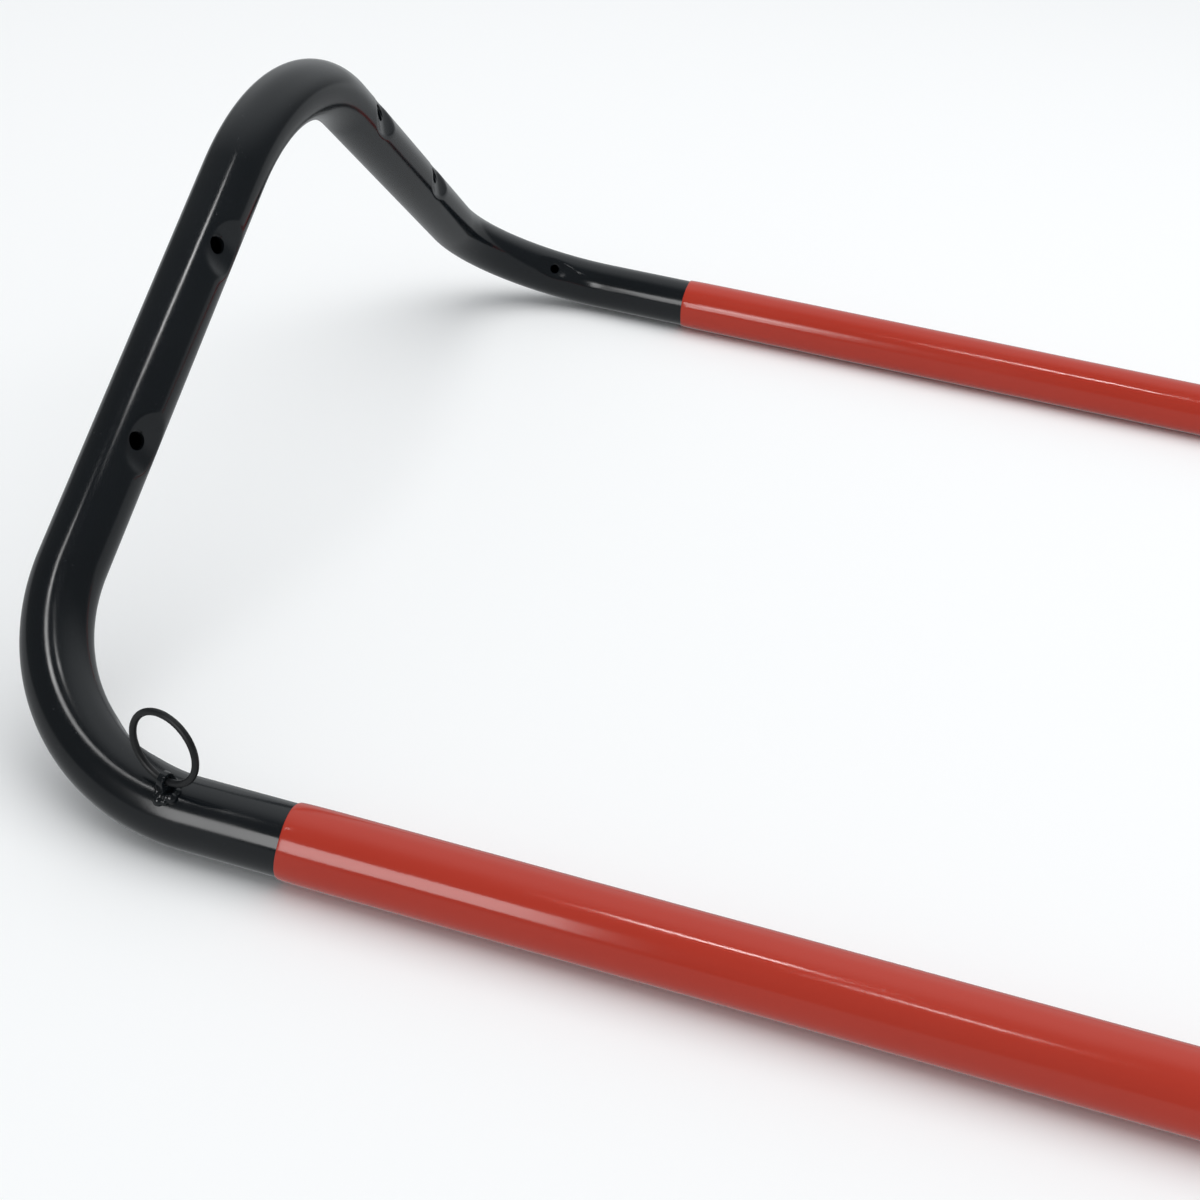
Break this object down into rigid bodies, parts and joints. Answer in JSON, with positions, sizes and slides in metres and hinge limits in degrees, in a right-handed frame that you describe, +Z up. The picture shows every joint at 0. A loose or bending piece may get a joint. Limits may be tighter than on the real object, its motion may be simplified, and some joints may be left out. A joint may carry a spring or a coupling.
{
  "type": "post driver handle frame",
  "caption": "Bent steel tube handle frame with a peaked nose, two long parallel legs in red grip sleeves, and a wire ring hinged in a lug on one corner.",
  "frame": {"origin": "centre of the footprint on the plane that the grip sleeves rest on", "axes": "+X along the legs away from the nose, +Y from the near leg to the far leg, +Z up"},
  "size_m": [0.6836, 0.5452, 0.1887],
  "materials": {
    "black_gloss_coat": "gloss powder coat",
    "red_pvc": "glossy shrink-fitted PVC",
    "black_plastic": "moulded satin",
    "zinc_steel": "zinc plated",
    "black_wire": "satin black coat"
  },
  "bodies": {
    "frame": {"nose_tube": "black_gloss_coat", "near_leg_tube": "black_gloss_coat", "near_joint_spigot": "zinc_steel", "near_joint_pins": "zinc_steel", "near_grip_sleeve": "red_pvc", "near_end_bush": "zinc_steel", "near_end_plug": "black_plastic", "far_leg_tube": "black_gloss_coat", "far_joint_spigot": "zinc_steel", "far_joint_pins": "zinc_steel", "far_grip_sleeve": "red_pvc", "far_end_bush": "zinc_steel", "far_end_plug": "black_plastic", "ring_lug": "black_gloss_coat", "lug_weld": "black_gloss_coat"},
    "ring": {"pull_ring": "black_wire"}
  },
  "joints": [
    {"name": "ring_swing", "type": "hinge", "parent": "frame", "child": "ring", "pos_m": [-0.25176, -0.2646, 0.0301], "axis": [-0.9681, 0.2504, 0], "range_deg": [-75, 75]}
  ]
}
